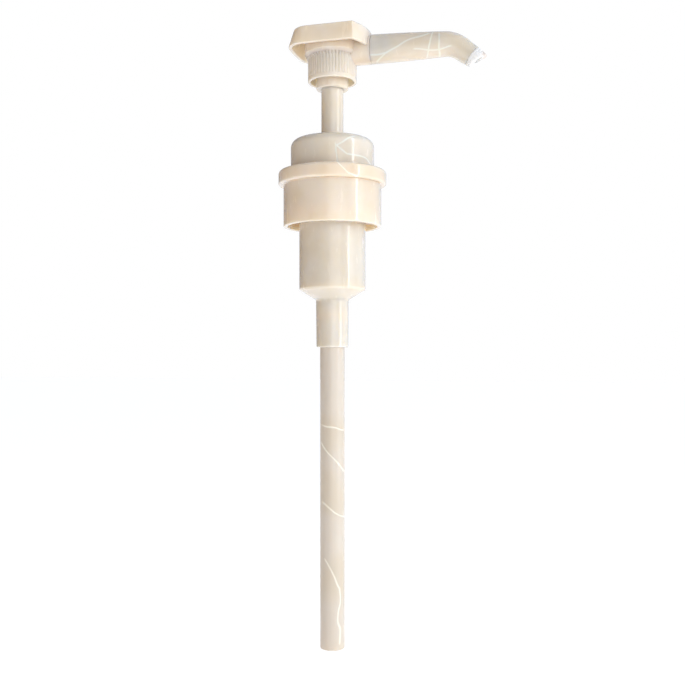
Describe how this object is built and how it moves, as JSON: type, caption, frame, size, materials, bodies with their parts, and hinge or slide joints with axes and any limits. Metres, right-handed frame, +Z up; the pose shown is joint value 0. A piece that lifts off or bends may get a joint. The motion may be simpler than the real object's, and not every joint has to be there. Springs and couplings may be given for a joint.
{
  "type": "condiment pump dispenser",
  "caption": "Push-down condiment pump for a 38 mm jug neck: hooked spout, domed retainer, free-turning screw closure, pump cylinder and long dip tube.",
  "frame": {"origin": "centre of the gasket's underside, where the jug's lip seats", "axes": "+Z up the stem; +X along the spout; the dip tube hangs along -Z"},
  "size_m": [0.0892, 0.0464, 0.264],
  "materials": {
    "ivory_pp": "glossy",
    "ivory_pe": "satin",
    "white_pe": "satin",
    "acetal": "satin",
    "seal_rubber": "matte",
    "spring_steel": "drawn wire",
    "ball_steel": "polished"
  },
  "bodies": {
    "closure": {"screw_closure": "ivory_pp"},
    "pump_body": {"pump_cylinder": "ivory_pp", "retainer_dome": "ivory_pp", "stem_guide": "acetal", "stem_wiper": "seal_rubber", "neck_gasket": "seal_rubber", "dip_tube": "ivory_pe", "spring_seat": "acetal", "return_spring": "spring_steel"},
    "lower_valve": {"inlet_ball": "ball_steel"},
    "piston": {"piston_core": "acetal", "piston_cup": "white_pe", "piston_retainer": "acetal", "swivel_seal": "seal_rubber"},
    "plunger": {"stem": "ivory_pp", "stem_foot": "acetal", "ball_stop": "acetal", "pump_head": "ivory_pp", "spout": "ivory_pp", "nozzle_tip": "white_pe"},
    "upper_valve": {"outlet_ball": "ball_steel"}
  },
  "joints": [
    {"name": "closure_spin", "type": "hinge", "parent": "closure", "child": "pump_body", "pos_m": [0, 0, 0], "axis": [0, 0, 1], "continuous": true},
    {"name": "pump_stroke", "type": "slide", "parent": "pump_body", "child": "piston", "axis": [0, 0, 1], "range_m": [-0.0204, 0], "stiffness_N_per_m": 490, "springref_m": 0.017, "deforming": ["return_spring"]},
    {"name": "head_swivel", "type": "hinge", "parent": "piston", "child": "plunger", "pos_m": [0, 0, 0], "axis": [0, 0, 1], "continuous": true},
    {"name": "lower_valve_lift", "type": "slide", "parent": "pump_body", "child": "lower_valve", "axis": [0, 0, 1], "range_m": [0, 0.0025]},
    {"name": "upper_valve_lift", "type": "slide", "parent": "plunger", "child": "upper_valve", "axis": [0, 0, 1], "range_m": [0, 0.002]}
  ]
}
